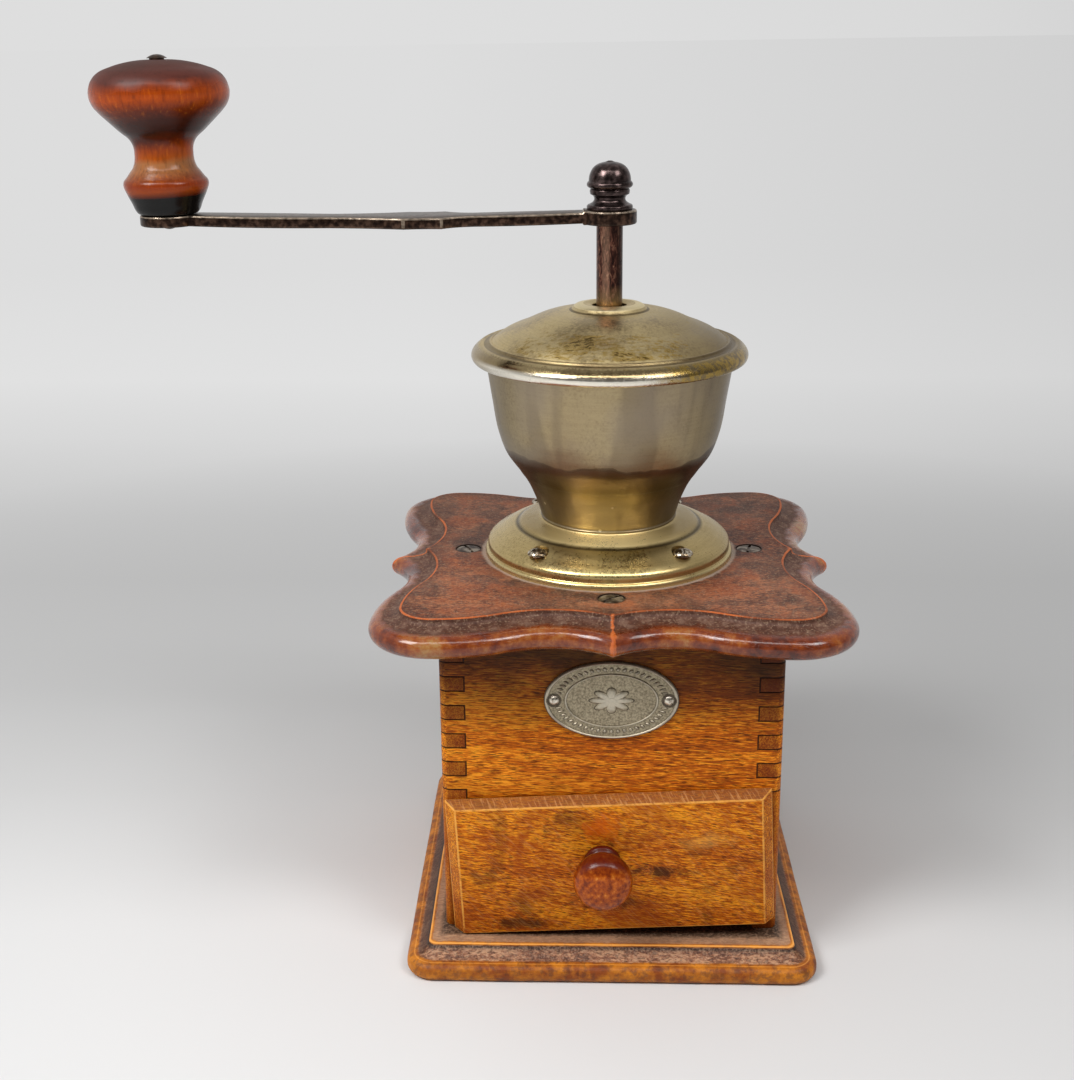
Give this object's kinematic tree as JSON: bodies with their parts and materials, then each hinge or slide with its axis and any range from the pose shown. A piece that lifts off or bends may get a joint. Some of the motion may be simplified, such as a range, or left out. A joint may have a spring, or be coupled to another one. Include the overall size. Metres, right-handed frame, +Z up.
{
  "type": "hand crank coffee mill",
  "caption": "Wooden box coffee mill with a spun brass hopper and lid, a cranked cone burr above, and a drawer for the ground coffee.",
  "frame": {"origin": "on the axis of the mill shaft, at the underside of the base board", "axes": "+Z up along the mill shaft, -Y to the front where the drawer opens, the crank points along -X at rest"},
  "size_m": [0.235, 0.1501, 0.281],
  "materials": {
    "base_wood": "dark stained hardwood, worn satin",
    "case_wood": "amber stained beech, satin shellac",
    "top_wood": "red-brown stained hardwood, worn satin",
    "drawer_wood": "golden stained beech, worn satin",
    "drawer_inner_wood": "bare beech",
    "knob_wood": "polished turned hardwood",
    "hopper_brass": "spun brass, dull tarnish",
    "flange_brass": "spun brass, rubbed",
    "crank_iron": "forged iron, dark patina",
    "mill_iron": "bare cast iron",
    "screw_steel": "dull steel",
    "spring_steel": "blued spring steel",
    "badge_nickel": "stamped nickel-plated sheet, dull"
  },
  "bodies": {
    "case": {"base_board": "base_wood", "base_screws": "screw_steel", "side_board_left": "case_wood", "side_board_right": "case_wood", "front_board": "case_wood", "back_board": "case_wood", "top_board": "top_wood", "top_board_screws": "screw_steel", "hopper_flange": "flange_brass", "hopper_bowl": "hopper_brass", "frame_screws": "screw_steel", "frame_nuts": "screw_steel", "bearing_bridge": "mill_iron", "outer_burr": "mill_iron", "lower_yoke": "mill_iron", "detent_spring": "spring_steel", "spring_rivet": "screw_steel", "badge_plate": "badge_nickel", "badge_nails": "badge_nickel"},
    "thrust": {"thrust_ball": "spring_steel"},
    "adjuster": {"adjusting_screw": "mill_iron"},
    "crank": {"mill_shaft": "crank_iron", "inner_burr": "mill_iron", "burr_pin": "screw_steel", "crank_arm": "crank_iron", "cap_nut": "crank_iron", "knob_rivet": "crank_iron"},
    "knob": {"crank_knob": "knob_wood"},
    "lid": {"hopper_lid": "hopper_brass"},
    "drawer": {"drawer_front": "drawer_wood", "drawer_side_left": "drawer_inner_wood", "drawer_side_right": "drawer_inner_wood", "drawer_back": "drawer_inner_wood", "drawer_bottom": "drawer_inner_wood", "drawer_knob": "knob_wood", "drawer_knob_screw": "screw_steel"}
  },
  "joints": [
    {"name": "cone_lift", "type": "slide", "parent": "case", "child": "thrust", "axis": [0, 0, 1], "range_m": [-0.0005, 0.0005]},
    {"name": "adjuster_turn", "type": "hinge", "parent": "thrust", "child": "adjuster", "pos_m": [0, 0, 0.0634], "axis": [0, 0, 1], "range_deg": [-180, 180]},
    {"name": "crank_turn", "type": "hinge", "parent": "thrust", "child": "crank", "pos_m": [0, 0, 0.12], "axis": [0, 0, 1], "continuous": true},
    {"name": "knob_spin", "type": "hinge", "parent": "crank", "child": "knob", "pos_m": [-0.1395, 0, 0.2325], "axis": [0, 0, 1], "continuous": true},
    {"name": "lid_lift", "type": "slide", "parent": "case", "child": "lid", "axis": [0, 0, 1], "range_m": [0, 0.023]},
    {"name": "drawer_slide", "type": "slide", "parent": "case", "child": "drawer", "axis": [0, -1, 0], "range_m": [0, 0.075]}
  ],
  "couplings": [
    {"joint": "adjuster_turn", "follows": "cone_lift", "rad_per_m": 6283}
  ]
}
